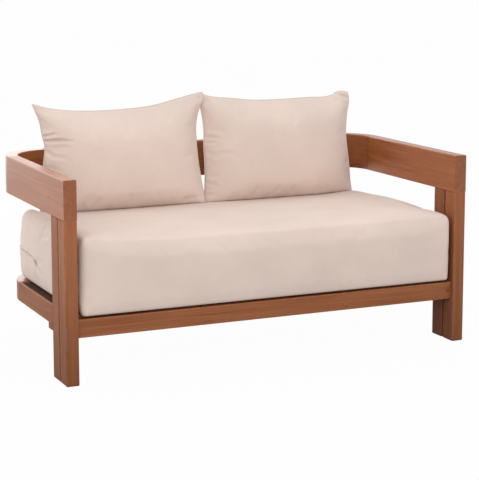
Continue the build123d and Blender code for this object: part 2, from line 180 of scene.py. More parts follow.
def timber(name, axis, seed, tone, gloss, edge_box, arc, joints, knots):
    material, tree, shader = new_material(name)
    place = object_place(tree)
    middle = (Vector(edge_box[0]) + Vector(edge_box[1])) / 2
    if arc is None:
        turn = {"x": (0, math.pi / 2, 0), "y": (math.pi / 2, 0, 0)}.get(axis, (0, 0, 0))
        turned = put(tree, "VectorRotate", {"Vector": place, "Rotation": turn},
                     rotation_type="EULER_XYZ").outputs[0]
        centred = {"x": (-middle.z, -middle.y), "y": (-middle.x, middle.z)}.get(
            axis, (-middle.x, -middle.y))
    else:
        turned = round_the_arc(tree, place, arc)
        centred = (-(arc[1] + arc[2]) / 2, -middle.z)
    shift = (0.37 * seed % 1.9, 0.71 * seed % 2.3, 1.3 * seed % 3.1)
    grain = put(tree, "VectorMath", {0: turned, 1: shift}, operation="ADD").outputs[0]
    # the rings waver along the timber
    waver = noise(tree, stretched(tree, grain, (7.0, 7.0, 1.1)), 1.0, 2.0, 0.45)
    heart_place = (centred[0] + 0.10 + 0.021 * (seed % 5), centred[1] + 0.02 * (seed % 3 - 1), 0)
    heart = put(tree, "Mapping", {"Vector": turned, "Scale": (1, 1, 0.02),
                                  "Location": heart_place}).outputs[0]
    radius = put(tree, "VectorMath", {0: heart}, operation="LENGTH").outputs["Value"]
    wavered = maths(tree, "MULTIPLY_ADD", waver, 0.075, radius)
    # the grain bends round each knot
    away = [put(tree, "VectorMath", {0: place, 1: centre}, operation="DISTANCE").outputs["Value"]
            for centre, _ in knots]
    for gap, (_, size) in zip(away, knots):
        bend = remap(tree, gap, size * 4.5, 0.0, smooth=True)
        wavered = maths(tree, "MULTIPLY_ADD", bend, 0.022, wavered)
    rings = put(tree, "TexNoise", {"W": maths(tree, "MULTIPLY", wavered, 190.0), "Scale": 1.0,
                                   "Detail": 2.5, "Roughness": 0.55},
                noise_dimensions="1D").outputs[0]
    long = stretched(tree, grain, (1, 1, 0.028))
    fibre = noise(tree, long, 420.0, 3.0, 0.6)
    streak = noise(tree, long, 75.0)
    blot = noise(tree, stretched(tree, grain, (5, 5, 1.6)), 1.0)
    pores = noise(tree, stretched(tree, grain, (1, 1, 0.07)), 900.0, 1.0)
    pore = remap(tree, pores, 0.66, 0.74)
    # colour from dark late wood to pale early wood
    level = maths(tree, "MULTIPLY_ADD", rings, 0.26, maths(tree, "MULTIPLY", streak, 0.42))
    level = maths(tree, "MULTIPLY_ADD", fibre, 0.20, level)
    level = maths(tree, "MULTIPLY_ADD", blot, 0.42, level)
    ramp = put(tree, "ValToRGB", {"Fac": remap(tree, level, 0.43, 0.87)})
    stops = ramp.color_ramp.elements
    stops[0].color = shade(dark_wood, tone)
    stops[1].color = shade(pale_wood, tone)
    stops.new(0.5).color = shade(middle_wood, tone)
    colour = mixed(tree, maths(tree, "MULTIPLY", pore, 0.28), ramp.outputs[0],
                   shade(pore_brown, tone))
    for gap, (_, size) in zip(away, knots):
        ragged = noise(tree, place, 0.7 / size, 3.0, 0.6)
        ring = maths(tree, "MULTIPLY_ADD", ragged, size * 2.4,
                     maths(tree, "SUBTRACT", gap, size * 1.2))
        colour = mixed(tree, remap(tree, ring, size, size * 0.35, 0.0, 0.62, smooth=True), colour,
                       knot_brown)
    rough = maths(tree, "MULTIPLY_ADD", fibre, 0.2, gloss)
    # edges lightened in patches: partly wear, partly painted highlight where rounded edges catch
    # the light
    edge = worn_and_highlit_edges(tree, place, axis, edge_box, arc)
    patchy_wear_and_highlight = maths(tree, "MULTIPLY", edge, remap(tree, noise(tree, place, 38.0), 0.35, 0.65))
    colour = mixed(tree, maths(tree, "MULTIPLY", patchy_wear_and_highlight, 0.35), colour, shade(worn_and_highlit_wood, tone))
    rough = maths(tree, "MULTIPLY_ADD", patchy_wear_and_highlight, 0.12, rough)
    split = put(tree, "SeparateXYZ", {0: place})
    # dark hairline of glue and dirt where a timber meets the next one
    for number, position in joints:
        offset = maths(tree, "ABSOLUTE", maths(tree, "SUBTRACT", split.outputs[number], position))
        line = remap(tree, offset, 0.0024, 0.0008)
        colour = mixed(tree, maths(tree, "MULTIPLY", line, 0.7), colour, glue_brown)
    if name.endswith("_arm"):
        # end grain at the front of the arm is darker
        front = edge_box[0][1]
        end = remap(tree, split.outputs[1], front + 0.0022, front + 0.0006)
        colour = mixed(tree, maths(tree, "MULTIPLY", end, 0.35), colour, shade(dark_wood, 0.75))
    if name.endswith("_side_rail"):
        # painted shade: the rail's ledge beside the cushion is darkened and made rougher
        ledge_shade = ledge_painted_shade(tree, place, split, edge_box)
        rough = maths(tree, "MULTIPLY_ADD", ledge_shade, 0.55, rough, clamp=True)
        colour = mixed(tree, maths(tree, "MULTIPLY", ledge_shade, 0.94), colour, ledge_shade_brown)
    if axis == "z":
        # painted shade: standing timbers darken toward the ground
        ground_shade = remap(tree, split.outputs[2], 0.0, 0.5, 0.72, 1.0)
        blotted = maths(tree, "MULTIPLY_ADD", blot, 0.12, maths(tree, "SUBTRACT", ground_shade, 0.06))
        grey = put(tree, "CombineXYZ", {0: blotted, 1: blotted, 2: blotted}).outputs[0]
        colour = mixed(tree, 1.0, colour, grey, "MULTIPLY")
    height = maths(tree, "MULTIPLY_ADD", rings, 0.4, fibre)
    height = maths(tree, "MULTIPLY_ADD", pore, -0.8, height)
    polished = gloss < polished_below
    bump = put(tree, "Bump", {"Strength": 0.10 if polished else 0.35, "Distance": 0.0006,
                              "Height": height})
    feed(tree, shader, {"Base Color": colour, "Roughness": rough, "Normal": bump.outputs[0],
                        "IOR": 1.45, "Specular IOR Level": 0.5 if polished else 0.35})
    return material


def ledge_painted_shade(tree, place, split, edge_box):
    # Painted shade on the ledge under the edge of the cushion, as if in its shadow, with spots.
    low, high = edge_box
    crest = remap(tree, split.outputs[2], high[2] - 0.004, high[2] - 0.001)
    inboard = maths(tree, "SUBTRACT", max(abs(low[0]), abs(high[0])),
                    maths(tree, "ABSOLUTE", split.outputs[0]))
    under = remap(tree, inboard, 0.003, 0.010, smooth=True)
    ends = remap(tree, split.outputs[1], high[1] + 0.002, high[1] - 0.040, smooth=True)
    spotted = remap(tree, noise(tree, place, 24.0, 3.0, 0.6), 0.3, 0.55, 0.88, 1.0)
    return maths(tree, "MULTIPLY", maths(tree, "MULTIPLY", crest, under),
                 maths(tree, "MULTIPLY", ends, spotted))


def worn_and_highlit_edges(tree, place, axis, edge_box, arc):
    # 1 along the long edges of a timber, falling to 0 a few millimetres away from them.
    # the edges it marks are lightened as wear and as painted highlight
    low, high = edge_box
    split = put(tree, "SeparateXYZ", {0: place})

    def inside(value, bottom, top):
        offset = maths(tree, "ABSOLUTE", maths(tree, "SUBTRACT", value, (bottom + top) / 2))
        return maths(tree, "SUBTRACT", (top - bottom) / 2, offset)

    if arc is None:
        across = [inside(split.outputs[i], low[i], high[i]) for i in range(3) if "xyz"[i] != axis]
    else:
        centre, inner, outer = arc
        flat = put(tree, "CombineXYZ", {0: split.outputs[0], 1: split.outputs[1]}).outputs[0]
        reach = put(tree, "VectorMath", {0: flat, 1: (centre[0], centre[1], 0)},
                    operation="DISTANCE").outputs["Value"]
        across = [inside(reach, inner, outer), inside(split.outputs[2], low[2], high[2])]
    away = maths(tree, "MAXIMUM", across[0], across[1])
    return remap(tree, away, 0.0065, 0.0015, smooth=True)


def round_the_arc(tree, place, arc):
    # Coordinates of a bent timber: out from the arc's centre, up, and along the bend.
    centre, inner, outer = arc
    moved = put(tree, "VectorMath", {0: place, 1: (-centre[0], -centre[1], 0)}, operation="ADD")
    split = put(tree, "SeparateXYZ", {0: moved.outputs[0]})
    flat = put(tree, "CombineXYZ", {0: split.outputs[0], 1: split.outputs[1]}).outputs[0]
    reach = put(tree, "VectorMath", {0: flat}, operation="LENGTH").outputs["Value"]
    side = maths(tree, "ABSOLUTE", split.outputs[0])
    angle = maths(tree, "ARCTAN2", split.outputs[1], side)
    along = maths(tree, "MULTIPLY", angle, (inner + outer) / 2)
    return put(tree, "CombineXYZ", {0: reach, 1: split.outputs[2], 2: along}).outputs[0]


def corner_arc(node, side):
    low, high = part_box(node)
    outer = high.y - low.y
    centre = (low.x + outer, low.y) if side == "left" else (high.x - outer, low.y)
    return centre, outer - timber_thick, outer


# Each timber: the way its grain runs, or the side of a bent one, its seed and its tone
timbers = {
    "left_fore_post": ("z", 1, 1.02), "left_aft_post": ("z", 2, 1.08),
    "right_fore_post": ("z", 3, 1.0), "right_aft_post": ("z", 4, 0.86),
    "left_rear_outer_post": ("z", 5, 0.97), "left_rear_inner_post": ("z", 6, 0.95),
    "right_rear_outer_post": ("z", 7, 1.0), "right_rear_inner_post": ("z", 8, 0.96),
    "left_arm": ("y", 9, 1.2), "right_arm": ("y", 10, 1.15),
    "back_rail": ("x", 11, 0.9), "front_rail": ("x", 12, 0.98),
    "left_side_rail": ("y", 13, 1.0), "right_side_rail": ("y", 14, 0.97),
    "seat_back_rail": ("x", 15, 0.97), "front_bearer": ("x", 16, 0.92),
    "middle_bearer": ("x", 17, 0.94), "rear_bearer": ("x", 18, 0.95),
    "left_ledgers": ("y", 19, 0.95), "right_ledgers": ("y", 20, 0.95),
    "seat_slats": ("y", 21, 1.0), "front_leg_spacers": ("z", 22, 0.8),
    "rear_leg_spacers": ("z", 23, 0.8),
    "left_arm_corner": ("left", 24, 1.0), "right_arm_corner": ("right", 25, 0.88),
    "left_seat_corner": ("left", 26, 1.0), "right_seat_corner": ("right", 27, 1.0),
}
# Knots: where the middle of each one is, and its radius
knot_places = {
    "front_rail": [((0.692, -0.392, 0.185), 0.009), ((0.280, -0.392, 0.164), 0.004)],
    "left_arm": [((-0.75, -0.256, 0.602), 0.006)],
    "right_arm": [((0.706, -0.112, 0.656), 0.005)],
}


def joint_places(node, box):
    low, high = box
    if node.endswith("_arm"):
        return [(1, high.y)]
    if node.endswith("_corner"):
        return [(1, low.y), (0, high.x if node.startswith("left") else low.x)]
    if node in ("back_rail", "seat_back_rail"):
        return [(0, low.x), (0, high.x)]
    return []


def dress(node, material):
    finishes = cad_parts[node].data.materials
    finishes.clear()
    finishes.append(material)


def finish_timbers():
    for node, (axis, seed, tone) in timbers.items():
        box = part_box(node)
        arc = corner_arc(node, axis) if axis in ("left", "right") else None
        gloss = band_gloss if "arm" in node or "corner" in node else plain_gloss
        if node == "left_arm":
            gloss = left_arm_gloss
        dress(node, timber("wood_" + node, axis, seed, tone, gloss, box, arc,
                           joint_places(node, box), knot_places.get(node, [])))


# Beech dowels and steel fixings
def beech():
    material, tree, shader = new_material("beech")
    fleck = noise(tree, stretched(tree, object_place(tree), (1, 1, 0.06)), 500.0)
    colour = two_tones(tree, fleck, srgb(178, 134, 92), srgb(214, 176, 134))
    bump = put(tree, "Bump", {"Strength": 0.3, "Distance": 0.0004, "Height": fleck})
    feed(tree, shader, {"Base Color": colour, "Normal": bump.outputs[0], "Roughness": 0.6})
    return material


def steel():
    material, tree, shader = new_material("steel")
    place = object_place(tree)
    brushed = noise(tree, stretched(tree, place, (1, 0.08, 1)), 1400.0)
    colour = two_tones(tree, noise(tree, place, 60.0, 3.0), srgb(138, 138, 136),
                       srgb(176, 176, 172))
    bump = put(tree, "Bump", {"Strength": 0.2, "Distance": 0.0002, "Height": brushed})
    feed(tree, shader, {"Base Color": colour, "Normal": bump.outputs[0], "Metallic": 1.0,
                        "Roughness": remap(tree, brushed, 0.2, 0.8, 0.24, 0.42)})
    return material


def finish_fixings():
    wood, metal = beech(), steel()
    for node in ("arm_post_dowels", "band_dowels", "seat_frame_dowels"):
        dress(node, wood)
    for node in ("band_bolts", "seat_frame_bolts", "bolt_washers", "slat_screws"):
        dress(node, metal)


# Woven outdoor cloth: warp and weft relief on the three planes, slubs and soft tone changes
cloth_colour = srgb(218, 199, 188)
thread_pitch = 0.0016


def weave_height(tree, split, first, second):
    threads = 2 * math.pi / thread_pitch
    warp = maths(tree, "SINE", maths(tree, "MULTIPLY", split.outputs[first], threads))
    weft = maths(tree, "SINE", maths(tree, "MULTIPLY", split.outputs[second], threads))
    return maths(tree, "MULTIPLY", warp, weft)


def cloth():
    material, tree, shader = new_material("cushion_cloth")
    place = object_place(tree)
    jitter = put(tree, "VectorMath", {0: noise(tree, place, 30.0), 1: (0.0008,) * 3},
                 operation="MULTIPLY").outputs[0]
    uneven = put(tree, "VectorMath", {0: place, 1: jitter}, operation="ADD").outputs[0]
    split = put(tree, "SeparateXYZ", {0: uneven})
    facing = put(tree, "SeparateXYZ", {0: put(tree, "NewGeometry").outputs["Normal"]})
    weights = [maths(tree, "POWER", maths(tree, "ABSOLUTE", side), 3.0) for side in facing.outputs]
    planes = [weave_height(tree, split, a, b) for a, b in ((1, 2), (0, 2), (0, 1))]
    height = maths(tree, "MULTIPLY", planes[0], weights[0])
    height = maths(tree, "MULTIPLY_ADD", planes[1], weights[1], height)
    height = maths(tree, "MULTIPLY_ADD", planes[2], weights[2], height)
    moved = put(tree, "VectorMath", {0: place, 1: (0.31, 0.17, 0.23)}, operation="ADD").outputs[0]
    slub_x = noise(tree, stretched(tree, moved, (18, 500, 500)), 1.0)
    slub_z = noise(tree, stretched(tree, moved, (500, 500, 18)), 1.0)
    slub = maths(tree, "ADD", maths(tree, "MULTIPLY", slub_x, 0.5),
                 maths(tree, "MULTIPLY", slub_z, 0.5))
    cloud = noise(tree, moved, 5.0, 3.0, 0.5)
    heather = noise(tree, moved, 260.0, 2.0, 0.7)
    level = maths(tree, "MULTIPLY_ADD", slub, 0.3, maths(tree, "MULTIPLY", cloud, 0.5))
    level = maths(tree, "MULTIPLY_ADD", heather, 0.2, level)
    level = maths(tree, "MULTIPLY_ADD", height, 0.03, level)
    colour = two_tones(tree, remap(tree, level, 0.3, 0.7), shade(cloth_colour, 0.9),
                       shade(cloth_colour, 1.07))
    relief = maths(tree, "MULTIPLY_ADD", slub, 0.35, maths(tree, "MULTIPLY", height, 0.5))
    bump = put(tree, "Bump", {"Strength": 0.25, "Distance": 0.0004, "Height": relief})
    feed(tree, shader, {"Base Color": colour, "Normal": bump.outputs[0],
                        "Roughness": remap(tree, heather, 0.3, 0.7, 0.84, 0.96),
                        "Sheen Weight": 0.12, "Sheen Roughness": 0.5, "Specular IOR Level": 0.25})
    return material


# Mesh helpers
swell_frames = 20


def mesh_object(name, points, faces, material):
    data = bpy.data.meshes.new(name)
    data.from_pydata([tuple(p) for p in points], [], faces)
    data.validate()
    data.materials.append(material)
    piece = bpy.data.objects.new(name, data)
    scene.collection.objects.link(piece)
    for polygon in data.polygons:
        polygon.use_smooth = True
    return piece


def coordinates(mesh):
    flat = np.zeros(len(mesh.vertices) * 3, np.float32)
    mesh.vertices.foreach_get("co", flat)
    return flat.reshape(-1, 3).astype(float)


def set_coordinates(piece, points):
    piece.data.vertices.foreach_set("co", np.asarray(points, np.float32).ravel())
    piece.data.update()


def smooth_step(value, low, high):
    share = np.clip((value - low) / (high - low), 0, 1)
    return share * share * (3 - 2 * share)


def through(points, count):
    # Points evenly spaced along a smooth curve through the given ones.
    points = np.array(points, float)
    steps = np.linalg.norm(np.diff(points, axis=0), axis=1)
    at = np.concatenate(([0], np.cumsum(steps)))
    slope = np.gradient(points, at, axis=0)
    wanted = np.linspace(0, at[-1], count)
    part = np.clip(np.searchsorted(at, wanted, "right") - 1, 0, len(points) - 2)
    span = (at[part + 1] - at[part])[:, None]
    t = ((wanted - at[part]) / span[:, 0])[:, None]
    a, b = points[part], points[part + 1]
    sa, sb = slope[part] * span, slope[part + 1] * span
    return ((2 * t**3 - 3 * t**2 + 1) * a + (t**3 - 2 * t**2 + t) * sa
            + (3 * t**2 - 2 * t**3) * b + (t**3 - t**2) * sb)


def swell(piece, pins, cap, pressure, growth):
    # Inflates a sewn cover: seams stay put, and no point moves further than the cap.
    start = coordinates(piece.data)
    group = piece.vertex_groups.new(name="seam")
    for index, weight in enumerate(pins):
        if weight > 0:
            group.add([index], float(weight), "REPLACE")
    modifier = piece.modifiers.new("swell", "CLOTH")
    settings = modifier.settings
    settings.vertex_group_mass = "seam"
    settings.quality = 5
    settings.mass = 0.3
    settings.use_pressure = True
    settings.uniform_pressure_force = pressure
    settings.tension_stiffness = 15
    settings.compression_stiffness = 15
    settings.shear_stiffness = 5
    settings.bending_stiffness = 0.5
    settings.shrink_min = -growth
    settings.effector_weights.gravity = 0
    modifier.collision_settings.use_collision = False
    modifier.point_cache.frame_start = 1
    modifier.point_cache.frame_end = swell_frames
    for number in range(1, swell_frames + 1):
        scene.frame_set(number)
    graph = bpy.context.evaluated_depsgraph_get()
    move = coordinates(piece.evaluated_get(graph).to_mesh()) - start
    piece.evaluated_get(graph).to_mesh_clear()
    piece.modifiers.remove(modifier)
    piece.vertex_groups.remove(group)
    scene.frame_set(1)
    length = np.linalg.norm(move, axis=1)[:, None]
    cap = np.asarray(cap, float).reshape(-1, 1)
    move *= np.minimum(1, cap / np.maximum(length, 1e-9))
    set_coordinates(piece, start + move)


def apply_modifier(piece, modifier):
    graph = bpy.context.evaluated_depsgraph_get()
    shaped = bpy.data.meshes.new_from_object(piece.evaluated_get(graph))
    piece.modifiers.remove(modifier)
    old, piece.data = piece.data, shaped
    bpy.data.meshes.remove(old)


def subdivide(piece):
    modifier = piece.modifiers.new("finer", "SUBSURF")
    modifier.levels = modifier.render_levels = 1
    apply_modifier(piece, modifier)
    for polygon in piece.data.polygons:
        polygon.use_smooth = True


def round_edges(piece, width):
    modifier = piece.modifiers.new("round", "BEVEL")
    modifier.width = width
    modifier.segments = 2
    apply_modifier(piece, modifier)


def press(flat, lines):
    # How far each point is pressed in by creases, given in millimetres as points in the
    # plane, depth and width; a crease fades toward its last point.
    total = np.zeros(len(flat))
    for places, depth, width in lines:
        places = np.array(places, float) / 1000
        depth, width = depth / 1000, width / 1000
        steps = np.linalg.norm(np.diff(places, axis=0), axis=1)
        gone = np.concatenate(([0], np.cumsum(steps)))
        near, along = np.full(len(flat), 9.0), np.zeros(len(flat))
        for a, b, before, step in zip(places[:-1], places[1:], gone, steps):
            t = np.clip((flat - a) @ (b - a) / step**2, 0, 1)
            away = np.linalg.norm(flat - a - t[:, None] * (b - a), axis=1)
            closer = away < near
            near[closer], along[closer] = away[closer], ((before + t * step) / gone[-1])[closer]
        taper = np.sqrt(1 - along)
        ridge = 0.35 * np.exp(-(((near - 1.9 * width) / width) ** 2))
        total += depth * taper * (np.exp(-((near / width) ** 2)) - ridge)
    return total


def ring_tube(name, path, material, thick, closed=False, flat=1.0, out=None):
    # A slim tube along the path; out gives the outward direction at each place.
    sides = 6
    path = np.asarray(path, float)
    count = len(path)
    ahead = np.roll(path, -1, 0) - np.roll(path, 1, 0) if closed else np.gradient(path, axis=0)
    ahead /= np.linalg.norm(ahead, axis=1)[:, None]
    out = np.tile((0.0, 1.0, 0.0), (count, 1)) if out is None else np.asarray(out, float)
    out = out - ahead * (out * ahead).sum(1)[:, None]
    out /= np.maximum(np.linalg.norm(out, axis=1)[:, None], 1e-9)
    across = np.cross(ahead, out)
    points, faces = [], []
    for i in range(count):
        for k in range(sides):
            angle = 2 * math.pi * k / sides
            points.append(path[i] + thick * (math.cos(angle) * across[i]
                                             + flat * math.sin(angle) * out[i]))
    for i in range(count if closed else count - 1):
        for k in range(sides):
            a, b = i * sides + k, i * sides + (k + 1) % sides
            c, d = (i + 1) % count * sides + (k + 1) % sides, (i + 1) % count * sides + k
            faces.append([a, b, c, d])
    if not closed:
        faces += [list(range(sides))[::-1], [(count - 1) * sides + k for k in range(sides)]]
    return mesh_object(name, points, faces, material)


# Bench cushion
def rounded_distance(x, y, half_x, front, back, front_radius, back_radius):
    # Signed distance to a plan with wide rear corners, below 0 inside, and its outward direction.
    middle, half_y = (front + back) / 2, (back - front) / 2
    radius = np.where(y > middle, back_radius, front_radius)
    qx = np.abs(x) - half_x + radius
    qy = np.abs(y - middle) - half_y + radius
    outer = np.hypot(np.maximum(qx, 0), np.maximum(qy, 0))
    distance = np.minimum(np.maximum(qx, qy), 0) + outer - radius
    in_corner = (qx > 0) & (qy > 0)
    nx = np.where(in_corner, qx / np.maximum(outer, 1e-9), np.where(qx > qy, 1.0, 0.0))
    ny = np.where(in_corner, qy / np.maximum(outer, 1e-9), np.where(qx > qy, 0.0, 1.0))
    return distance, nx * np.sign(x), ny * np.sign(y - middle)


def box_grid(nx, ny, nz):
    # A closed box of squares with unit coordinates from -1 to 1.
    index, points, faces = {}, [], []

    def square(*corners):
        face = []
        for i, j, k in corners:
            if (i, j, k) not in index:
                index[i, j, k] = len(points)
                points.append((2 * i / nx - 1, 2 * j / ny - 1, 2 * k / nz - 1))
            face.append(index[i, j, k])
        faces.append(face)

    for i in range(nx):
        for j in range(ny):
            square((i, j, nz), (i + 1, j, nz), (i + 1, j + 1, nz), (i, j + 1, nz))
            square((i, j, 0), (i, j + 1, 0), (i + 1, j + 1, 0), (i + 1, j, 0))
    for i in range(nx):
        for k in range(nz):
            square((i, 0, k), (i + 1, 0, k), (i + 1, 0, k + 1), (i, 0, k + 1))
            square((i, ny, k), (i, ny, k + 1), (i + 1, ny, k + 1), (i + 1, ny, k))
    for j in range(ny):
        for k in range(nz):
            square((0, j, k), (0, j, k + 1), (0, j + 1, k + 1), (0, j + 1, k))
            square((nx, j, k), (nx, j + 1, k), (nx, j + 1, k + 1), (nx, j, k + 1))
    return np.array(points), faces


front_y, back_y = seat_low.y, seat_high.y
seat_top = seat_high.z
bench_squares = (118, 58, 21)
# half width behind the front legs and between them, and where in Y it changes
full_half, narrow_half = seat_high.x, 0.694
shoulder = (-0.252, -0.205)
front_corner, rear_corner = 0.015, 0.146
# the top: how far its rim and right end fall, the back cushions sink in, the left end rises
rim_slump, right_slope, back_sink, left_rise = 0.010, 0.030, 0.0165, 0.005
# the rim's radius, and how much less it is at the left end, the right end and the left front
rim_radius, left_less, right_less, left_front_less = 0.046, 0.019, 0.024, 0.009
# the foot's radius, and how much more it is behind the front legs
foot_radius, foot_more = 0.009, 0.015
side_fullness = 0.003
left_lean = 0.006
drawn_foot, drawn_more = 0.003, 0.004
# the inner edge of the seat frame: half width, front, back and two corner radii
frame_inside = (0.701, -1.0, 0.252, 0.03, 0.132)
frame_clearance = 0.002
front_hang = 0.0045


def seat_crown(x, y):
    # Height of the bench cushion's top, full in the middle and falling to its rim.
    inset, _, _ = rounded_distance(x, y, full_half, front_y, back_y, front_corner, rear_corner)
    run = np.clip(-inset / 0.125, 0, 1)
    slump = rim_slump * (1 - smooth_step(-x, 0.35, 0.65)) * (1 - run) ** 2
    # the right end slopes off, and the back cushions press the top down
    ease = (0.4 * smooth_step(-y, 0.1, 0.33) + 0.3 * smooth_step(-y, 0.24, 0.36)
            + 0.3 * smooth_step(y, 0.02, 0.18))
    slope = right_slope * (1 - np.clip((full_half - x) / 0.115, 0, 1)) ** 1.3 * (1 - ease)
    sink = back_sink * smooth_step(y, -0.08, 0.16) * (1 - 0.4 * smooth_step(x, 0.45, 0.62))
    sink = sink * (1 - smooth_step(-x, 0.60, 0.68))
    return seat_top - slump - slope - sink + left_rise * smooth_step(-x, 0.60, 0.70)


def bench_cushion():
    unit, faces = box_grid(*bench_squares)
    u, v, w = unit.T
    middle, half_y = (front_y + back_y) / 2, (back_y - front_y) / 2
    x, y = u * full_half, middle + v * half_y
    # the squares at each corner of the plan are bent round its radius
    radius = np.where(v > 0, rear_corner, front_corner)
    cx, cy = np.abs(x) - full_half + radius, np.abs(y - middle) - half_y + radius
    corner = (cx > 0) & (cy > 0)
    size = np.maximum(cx, cy)
    length = np.maximum(np.hypot(cx, cy), 1e-9)
    bent_x = np.where(corner, cx * size / length, cx) + full_half - radius
    bent_y = np.where(corner, cy * size / length, cy) + half_y - radius
    x = np.sign(x) * np.where(corner, bent_x, np.abs(x))
    y = middle + np.sign(v) * np.where(corner, bent_y, np.abs(y - middle))
    top, foot = seat_crown(x, y), np.full(len(x), deck_top + cloth_gap)
    z = foot + (w + 1) / 2 * (top - foot)
    # soft rim at the top and a tight one at the foot
    distance, nx, ny = rounded_distance(x, y, full_half, front_y, back_y, front_corner, rear_corner)
    rim = rim_radius - left_less * smooth_step(-x, 0.5, 0.68)
    rim = rim - right_less * smooth_step(x, 0.56, 0.69)
    rim = rim - left_front_less * smooth_step(-x, 0.60, 0.68) * smooth_step(-y, 0.20, 0.30)
    foot_rim = foot_radius + foot_more * np.abs(nx) * smooth_step(y, -0.27, -0.22)
    for radius, depth, side in ((rim, top - z, 1), (foot_rim, z - foot, -1)):
        a, b = radius + distance, radius - depth
        near = (a > 0) & (b > 0)
        size, length = np.maximum(a, b), np.maximum(np.hypot(a, b), 1e-9)
        inward = np.where(near, a - a * size / length, 0)
        x, y = x - nx * inward, y - ny * inward
        z = z - side * np.where(near, b - b * size / length, 0)
    # faces between the rims stand a little full
    tall = np.clip((z - foot) / (top - foot), 0, 1)
    fullness = np.clip(1 + distance / 0.05, 0, 1) * np.sin(math.pi * tall) ** 0.8
    x, y = x + nx * side_fullness * fullness, y + ny * side_fullness * fullness
    # the left end leans in toward its top
    leaning = nx * left_lean * smooth_step(tall, 0.5, 0.92) * smooth_step(-x, 0.3, 0.5)
    x = x - leaning * smooth_step(y, -0.30, -0.22)
    # squeezed between the front legs
    squeeze = 1 - (1 - narrow_half / full_half) * (1 - smooth_step(y, *shoulder))
    x = x * squeeze
    # the left end draws in a little behind its front leg
    drawn = drawn_foot + drawn_more * smooth_step(z, deck_top + 0.03, deck_top + 0.16)
    x = x + drawn * (1 - smooth_step(y, *shoulder)) * smooth_step(-x, 0.50, 0.68)
    # the foot steps up over the side rails and the rear rail
    out, _, _ = rounded_distance(x, y, *frame_inside)
    step = smooth_step(out, -0.014, 0.001) * (rail_top + frame_clearance - foot)
    step = step * smooth_step(y, -0.275, -0.262)
    z = z + step * (1 - smooth_step(z, foot + 0.004, foot + 0.09))
    # the front of the foot hangs a little over the ends of the slats
    hang = front_hang * smooth_step(-y, -front_y - 0.030, -front_y - 0.012) * (np.abs(x) < 0.72)
    z = z - hang * (1 - smooth_step(z, foot + 0.01, foot + 0.10))
    return np.stack((x, y, z), 1), faces, unit


def surface_of(piece):
    return BVHTree.FromPolygons([vertex.co for vertex in piece.data.vertices],
                                [polygon.vertices for polygon in piece.data.polygons])


# Creases of the bench cushion, in millimetres: on its left end (Y, Z) and on its front (X, Z)
bench_end_creases = [
    ([(-38, 333), (-60, 318), (-96, 300)], 3.5, 9),
    ([(-30, 345), (-70, 352), (-120, 350)], 3.0, 9),
    ([(60, 352), (40, 325), (30, 290)], 3.0, 12),
    ([(-90, 470), (-80, 440), (-60, 405)], 5.0, 11),
    ([(90, 475), (60, 464), (10, 452)], 5.0, 9),
    ([(160, 361), (190, 380), (200, 410)], 3.5, 12),
    ([(-150, 455), (-110, 438), (-60, 432)], 4.0, 8),
    ([(-40, 325), (-36, 285), (-44, 250)], 2.5, 12),
]
bench_front_creases = [
    ([(696, 232), (684, 250), (664, 270)], 1.8, 8),
    ([(-690, 232), (-680, 256), (-660, 292)], 3.0, 8),
]


def zip_path(piece):
    # Round the back and both ends of the bench cushion at mid height: a path beside the
    # cover that is then laid on it.
    end, back, height, back_height = 0.80, 0.46, 0.355, 0.36
    bend = 0.2
    route = [(-end, -0.038, 0.334), (-end, -0.020, 0.348), (-end, 0.0, height)]
    route += [(-end, y, height + 0.006 * math.sin(y * 9)) for y in np.linspace(0.03, 0.24, 8)]
    turn = np.linspace(math.pi, math.pi / 2, 9)
    route += [(-0.60 + bend * math.cos(a), 0.26 + bend * math.sin(a), back_height) for a in turn]
    route += [(x, back, back_height) for x in np.linspace(-0.56, 0.56, 29)]
    route += [(0.60 - bend * math.cos(a), 0.26 + bend * math.sin(a), back_height)
              for a in turn[::-1]]
    route += [(end, y, height) for y in np.linspace(0.24, 0.0, 9)]
    tree = surface_of(piece)
    places, outward = [], []
    for place in through(route, 420):
        middle = Vector((max(-0.5, min(0.5, place[0])), min(place[1], 0.1), place[2]))
        toward = (middle - Vector(place)).normalized()
        hit, normal, _, _ = tree.ray_cast(Vector(place), toward)
        if hit is not None:
            places.append(hit)
            outward.append(normal)
    return np.array(places), np.array(outward)


def coil():
    material, tree, shader = new_material("zip_coil")
    teeth = put(tree, "TexWave", {"Vector": object_place(tree), "Scale": 220.0, "Distortion": 0.4},
                bands_direction="DIAGONAL").outputs[1]
    colour = two_tones(tree, teeth, srgb(128, 110, 100), srgb(170, 152, 140))
    bump = put(tree, "Bump", {"Strength": 0.6, "Distance": 0.0006, "Height": teeth})
    feed(tree, shader, {"Base Color": colour, "Normal": bump.outputs[0], "Roughness": 0.5})
    return material


def slider_paint():
    material, tree, shader = new_material("zip_slider")
    speck = noise(tree, object_place(tree), 900.0)
    colour = two_tones(tree, speck, srgb(196, 178, 166), srgb(212, 194, 182))
    feed(tree, shader, {"Base Color": colour,
                        "Roughness": remap(tree, speck, 0.3, 0.7, 0.34, 0.46)})
    return material


